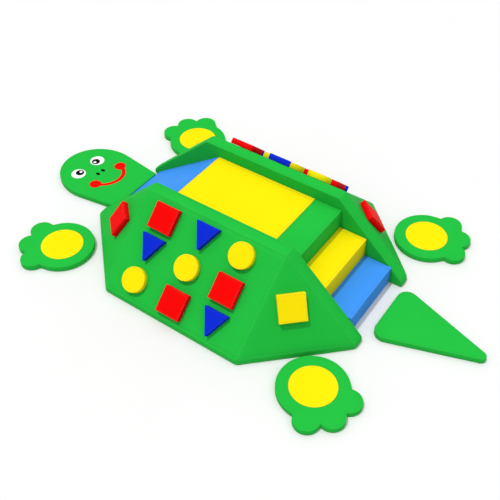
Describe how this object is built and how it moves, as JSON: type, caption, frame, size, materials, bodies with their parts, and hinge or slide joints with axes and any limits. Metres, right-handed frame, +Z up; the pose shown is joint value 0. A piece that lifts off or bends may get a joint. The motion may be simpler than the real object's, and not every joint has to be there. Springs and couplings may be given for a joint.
{
  "type": "soft play climb and slide set",
  "caption": "Foam soft-play turtle: a slide, deck and steps between two sloping shells, with loose head, paw and tail mats and stick-on shapes.",
  "frame": {"origin": "on the floor under the deck, midway between the two shells and midway along them", "axes": "+X from the head to the tail, +Y to the far shell, +Z up"},
  "size_m": [3.875, 2.3715, 0.5976],
  "materials": {
    "foam": "open-cell foam block, matte",
    "green_vinyl": "satin",
    "yellow_vinyl": "satin",
    "sky_vinyl": "satin",
    "blue_vinyl": "satin",
    "red_vinyl": "satin",
    "white_vinyl": "satin",
    "black_vinyl": "satin",
    "zip": "satin",
    "loop": "matte"
  },
  "bodies": {
    "platform": {"platform_core": "foam", "platform_cover": "yellow_vinyl", "platform_zip": "zip"},
    "slide": {"slide_core": "foam", "slide_cover": "sky_vinyl", "slide_zip": "zip"},
    "steps": {"steps_core": "foam", "steps_cover_green": "green_vinyl", "steps_cover_yellow": "yellow_vinyl", "steps_cover_blue": "sky_vinyl", "steps_zip": "zip"},
    "near_shell": {"near_shell_core": "foam", "near_shell_cover": "green_vinyl", "near_shell_zip": "zip", "near_shell_loop_patches": "loop"},
    "far_shell": {"far_shell_core": "foam", "far_shell_cover": "green_vinyl", "far_shell_zip": "zip", "far_shell_loop_patches": "loop"},
    "head": {"head_core": "foam", "head_cover": "green_vinyl", "head_eyes": "white_vinyl", "head_pupils_and_nostrils": "black_vinyl", "head_mouth": "red_vinyl"},
    "tail": {"tail_core": "foam", "tail_cover": "green_vinyl"},
    "near_front_paw": {"near_front_paw_core": "foam", "near_front_paw_cover": "green_vinyl", "near_front_paw_patch": "yellow_vinyl"},
    "far_front_paw": {"far_front_paw_core": "foam", "far_front_paw_cover": "green_vinyl", "far_front_paw_patch": "yellow_vinyl"},
    "near_rear_paw": {"near_rear_paw_core": "foam", "near_rear_paw_cover": "green_vinyl", "near_rear_paw_patch": "yellow_vinyl"},
    "far_rear_paw": {"far_rear_paw_core": "foam", "far_rear_paw_cover": "green_vinyl", "far_rear_paw_patch": "yellow_vinyl"},
    "near_top_front_square": {"near_top_front_square": "red_vinyl"},
    "near_top_centre_triangle": {"near_top_centre_triangle": "blue_vinyl"},
    "near_top_rear_disc": {"near_top_rear_disc": "yellow_vinyl"},
    "near_mid_front_triangle": {"near_mid_front_triangle": "blue_vinyl"},
    "near_mid_centre_disc": {"near_mid_centre_disc": "yellow_vinyl"},
    "near_mid_rear_square": {"near_mid_rear_square": "red_vinyl"},
    "near_low_front_disc": {"near_low_front_disc": "yellow_vinyl"},
    "near_low_centre_square": {"near_low_centre_square": "red_vinyl"},
    "near_low_rear_triangle": {"near_low_rear_triangle": "blue_vinyl"},
    "far_top_front_square": {"far_top_front_square": "red_vinyl"},
    "far_top_centre_triangle": {"far_top_centre_triangle": "blue_vinyl"},
    "far_top_rear_disc": {"far_top_rear_disc": "yellow_vinyl"},
    "far_mid_front_triangle": {"far_mid_front_triangle": "blue_vinyl"},
    "far_mid_centre_disc": {"far_mid_centre_disc": "yellow_vinyl"},
    "far_mid_rear_square": {"far_mid_rear_square": "red_vinyl"},
    "far_low_front_disc": {"far_low_front_disc": "yellow_vinyl"},
    "far_low_centre_square": {"far_low_centre_square": "red_vinyl"},
    "far_low_rear_triangle": {"far_low_rear_triangle": "blue_vinyl"},
    "near_head_end_square": {"near_head_end_square": "red_vinyl"},
    "near_tail_end_square": {"near_tail_end_square": "yellow_vinyl"},
    "far_head_end_square": {"far_head_end_square": "yellow_vinyl"},
    "far_tail_end_square": {"far_tail_end_square": "red_vinyl"}
  },
  "joints": [
    {"name": "slide_pull_out", "type": "slide", "parent": "platform", "child": "slide", "axis": [-1, 0, 0], "range_m": [0, 0.5]},
    {"name": "steps_pull_out", "type": "slide", "parent": "platform", "child": "steps", "axis": [1, 0, 0], "range_m": [0, 0.5]},
    {"name": "near_shell_pull_out", "type": "slide", "parent": "platform", "child": "near_shell", "axis": [0, -1, 0], "range_m": [0, 0.5]},
    {"name": "far_shell_pull_out", "type": "slide", "parent": "platform", "child": "far_shell", "axis": [0, 1, 0], "range_m": [0, 0.5]},
    {"name": "head_pull_out", "type": "slide", "parent": "slide", "child": "head", "axis": [-1, 0, 0], "range_m": [0, 0.4]},
    {"name": "tail_pull_out", "type": "slide", "parent": "steps", "child": "tail", "axis": [1, 0, 0], "range_m": [0, 0.4]},
    {"name": "near_front_paw_pull_out", "type": "slide", "parent": "near_shell", "child": "near_front_paw", "axis": [-0.848, -0.5299, 0], "range_m": [0, 0.4]},
    {"name": "far_front_paw_pull_out", "type": "slide", "parent": "far_shell", "child": "far_front_paw", "axis": [-0.8572, 0.515, 0], "range_m": [0, 0.4]},
    {"name": "near_rear_paw_pull_out", "type": "slide", "parent": "near_shell", "child": "near_rear_paw", "axis": [0.866, -0.5, 0], "range_m": [0, 0.4]},
    {"name": "far_rear_paw_pull_out", "type": "slide", "parent": "far_shell", "child": "far_rear_paw", "axis": [0.8829, 0.4695, 0], "range_m": [0, 0.4]},
    {"name": "near_top_front_square_lift_off", "type": "slide", "parent": "near_shell", "child": "near_top_front_square", "axis": [0, -0.6814, 0.7319], "range_m": [0, 0.15]},
    {"name": "near_top_centre_triangle_lift_off", "type": "slide", "parent": "near_shell", "child": "near_top_centre_triangle", "axis": [0, -0.6814, 0.7319], "range_m": [0, 0.15]},
    {"name": "near_top_rear_disc_lift_off", "type": "slide", "parent": "near_shell", "child": "near_top_rear_disc", "axis": [0, -0.6814, 0.7319], "range_m": [0, 0.15]},
    {"name": "near_mid_front_triangle_lift_off", "type": "slide", "parent": "near_shell", "child": "near_mid_front_triangle", "axis": [0, -0.6814, 0.7319], "range_m": [0, 0.15]},
    {"name": "near_mid_centre_disc_lift_off", "type": "slide", "parent": "near_shell", "child": "near_mid_centre_disc", "axis": [0, -0.6814, 0.7319], "range_m": [0, 0.15]},
    {"name": "near_mid_rear_square_lift_off", "type": "slide", "parent": "near_shell", "child": "near_mid_rear_square", "axis": [0, -0.6814, 0.7319], "range_m": [0, 0.15]},
    {"name": "near_low_front_disc_lift_off", "type": "slide", "parent": "near_shell", "child": "near_low_front_disc", "axis": [0, -0.6814, 0.7319], "range_m": [0, 0.15]},
    {"name": "near_low_centre_square_lift_off", "type": "slide", "parent": "near_shell", "child": "near_low_centre_square", "axis": [0, -0.6814, 0.7319], "range_m": [0, 0.15]},
    {"name": "near_low_rear_triangle_lift_off", "type": "slide", "parent": "near_shell", "child": "near_low_rear_triangle", "axis": [0, -0.6814, 0.7319], "range_m": [0, 0.15]},
    {"name": "far_top_front_square_lift_off", "type": "slide", "parent": "far_shell", "child": "far_top_front_square", "axis": [0, 0.6814, 0.7319], "range_m": [0, 0.15]},
    {"name": "far_top_centre_triangle_lift_off", "type": "slide", "parent": "far_shell", "child": "far_top_centre_triangle", "axis": [0, 0.6814, 0.7319], "range_m": [0, 0.15]},
    {"name": "far_top_rear_disc_lift_off", "type": "slide", "parent": "far_shell", "child": "far_top_rear_disc", "axis": [0, 0.6814, 0.7319], "range_m": [0, 0.15]},
    {"name": "far_mid_front_triangle_lift_off", "type": "slide", "parent": "far_shell", "child": "far_mid_front_triangle", "axis": [0, 0.6814, 0.7319], "range_m": [0, 0.15]},
    {"name": "far_mid_centre_disc_lift_off", "type": "slide", "parent": "far_shell", "child": "far_mid_centre_disc", "axis": [0, 0.6814, 0.7319], "range_m": [0, 0.15]},
    {"name": "far_mid_rear_square_lift_off", "type": "slide", "parent": "far_shell", "child": "far_mid_rear_square", "axis": [0, 0.6814, 0.7319], "range_m": [0, 0.15]},
    {"name": "far_low_front_disc_lift_off", "type": "slide", "parent": "far_shell", "child": "far_low_front_disc", "axis": [0, 0.6814, 0.7319], "range_m": [0, 0.15]},
    {"name": "far_low_centre_square_lift_off", "type": "slide", "parent": "far_shell", "child": "far_low_centre_square", "axis": [0, 0.6814, 0.7319], "range_m": [0, 0.15]},
    {"name": "far_low_rear_triangle_lift_off", "type": "slide", "parent": "far_shell", "child": "far_low_rear_triangle", "axis": [0, 0.6814, 0.7319], "range_m": [0, 0.15]},
    {"name": "near_head_end_square_lift_off", "type": "slide", "parent": "near_shell", "child": "near_head_end_square", "axis": [-0.5535, -0.5726, 0.6048], "range_m": [0, 0.15]},
    {"name": "near_tail_end_square_lift_off", "type": "slide", "parent": "near_shell", "child": "near_tail_end_square", "axis": [0.5535, -0.5726, 0.6048], "range_m": [0, 0.15]},
    {"name": "far_head_end_square_lift_off", "type": "slide", "parent": "far_shell", "child": "far_head_end_square", "axis": [-0.5535, 0.5726, 0.6048], "range_m": [0, 0.15]},
    {"name": "far_tail_end_square_lift_off", "type": "slide", "parent": "far_shell", "child": "far_tail_end_square", "axis": [0.5535, 0.5726, 0.6048], "range_m": [0, 0.15]}
  ]
}
